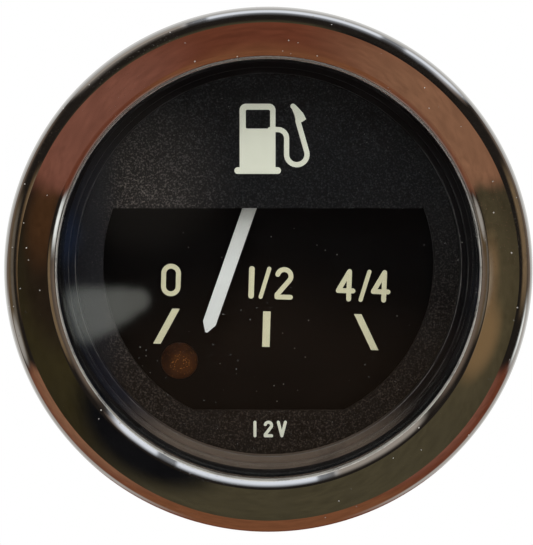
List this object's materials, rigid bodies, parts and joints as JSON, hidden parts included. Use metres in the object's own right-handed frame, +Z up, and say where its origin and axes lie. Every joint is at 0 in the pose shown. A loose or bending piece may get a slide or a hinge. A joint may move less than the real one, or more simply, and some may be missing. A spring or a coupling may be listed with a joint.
{
  "type": "fuel gauge",
  "caption": "Round panel-mounted fuel gauge: chrome bezel, masked dial with pointer, moving-iron movement, plug-in lamps, blade terminals and a rear clamp bracket.",
  "frame": {"origin": "on the case axis, in the plane of the panel's front face, where the bezel's crimped rear edge seats", "axes": "+Y along the case axis, from the face to the back; +Z up the dial; +X to the right as the dial is read"},
  "size_m": [0.06, 0.0621, 0.06],
  "materials": {
    "chrome_plate": "polished chrome plate",
    "clear_glass": "clear flat glass with a little dust",
    "black_rubber": "smooth rubber",
    "ring_black": "semi-matt black",
    "mask_crackle": "fine crackle black paint",
    "print_cream": "screen-printed cream ink",
    "dial_black": "smooth matt black paint",
    "pointer_white": "white painted aluminium",
    "amber_lens": "dark translucent amber",
    "brass": "turned brass",
    "nickel_steel": "nickel-plated steel",
    "frame_steel": "zinc-plated pressed steel",
    "soft_iron": "plain soft iron",
    "bobbin_nylon": "natural nylon",
    "enamel_copper": "enamelled copper wire",
    "pressboard": "varnished pressboard",
    "resistance_wire": "oxidised resistance wire",
    "case_zinc": "pale yellow passivated zinc plate",
    "phenolic": "brown phenolic sheet",
    "tinned_brass": "tinned brass",
    "bulb_glass": "clear bulb glass",
    "tube_black": "black moulded tube",
    "bracket_zinc": "bright zinc plate"
  },
  "bodies": {
    "gauge_body": {"bezel": "chrome_plate", "glass_lens": "clear_glass", "lens_gasket": "black_rubber", "front_spacer_ring": "ring_black", "mask_plate": "mask_crackle", "pump_symbol": "print_cream", "rating_figures": "print_cream", "rear_spacer_ring": "ring_black", "dial_plate": "dial_black", "dial_marks": "print_cream", "dial_figures": "print_cream", "dial_screws": "nickel_steel", "dial_pillars": "brass", "reserve_lens": "amber_lens", "reserve_light_tube": "tube_black", "movement_frame": "frame_steel", "bridge": "frame_steel", "bridge_pillars": "brass", "bridge_screws": "nickel_steel", "front_bearing": "brass", "rear_bearing": "brass", "left_bobbin": "bobbin_nylon", "left_winding": "enamel_copper", "left_core": "soft_iron", "right_bobbin": "bobbin_nylon", "right_winding": "enamel_copper", "right_core": "soft_iron", "resistor_card": "pressboard", "resistor_winding": "resistance_wire", "resistor_rivet": "brass", "case_shell": "case_zinc", "mounting_studs": "nickel_steel", "stud_spacers": "frame_steel", "movement_nuts": "nickel_steel", "outer_insulator": "phenolic", "inner_insulator": "phenolic", "supply_terminal": "tinned_brass", "sender_terminal": "tinned_brass", "terminal_rivets": "brass", "solder_tags": "tinned_brass", "earth_terminal": "tinned_brass", "earth_rivet": "brass", "coil_leads": "enamel_copper"},
    "pointer_assembly": {"pointer": "pointer_white", "pointer_boss": "brass", "pointer_spindle": "nickel_steel", "pointer_counterweight": "brass", "armature": "soft_iron"},
    "dial_lamp": {"dial_lamp_holder": "nickel_steel", "dial_lamp_contact": "phenolic", "dial_lamp_base": "brass", "dial_lamp_bulb": "bulb_glass"},
    "reserve_lamp": {"reserve_lamp_holder": "nickel_steel", "reserve_lamp_contact": "phenolic", "reserve_lamp_base": "brass", "reserve_lamp_bulb": "bulb_glass"},
    "clamp": {"clamp_bracket": "bracket_zinc", "clamp_washers": "nickel_steel"},
    "left_nut": {"left_clamp_nut": "brass"},
    "right_nut": {"right_clamp_nut": "brass"}
  },
  "joints": [
    {"name": "pointer_swing", "type": "hinge", "parent": "gauge_body", "child": "pointer_assembly", "pos_m": [0.00043, 0.0127, 0.01429], "axis": [0, -1, 0], "range_deg": [-14, 49]},
    {"name": "dial_lamp_pull", "type": "slide", "parent": "gauge_body", "child": "dial_lamp", "axis": [0, 1, 0], "range_m": [0, 0.022]},
    {"name": "reserve_lamp_pull", "type": "slide", "parent": "gauge_body", "child": "reserve_lamp", "axis": [0, 1, 0], "range_m": [0, 0.022]},
    {"name": "left_nut_spin", "type": "hinge", "parent": "clamp", "child": "left_nut", "pos_m": [-0.0155, 0.05, 0], "axis": [0, -1, 0], "range_deg": [0, 2571.5]},
    {"name": "right_nut_spin", "type": "hinge", "parent": "clamp", "child": "right_nut", "pos_m": [0.0155, 0.05, 0], "axis": [0, -1, 0], "range_deg": [0, 2571.5]},
    {"name": "clamp_slide", "type": "slide", "parent": "gauge_body", "child": "clamp", "axis": [0, -1, 0], "range_m": [0, 0.005]}
  ],
  "couplings": [
    {"joint": "left_nut_spin", "follows": "clamp_slide", "rad_per_m": 8976},
    {"joint": "right_nut_spin", "follows": "clamp_slide", "rad_per_m": 8976}
  ]
}
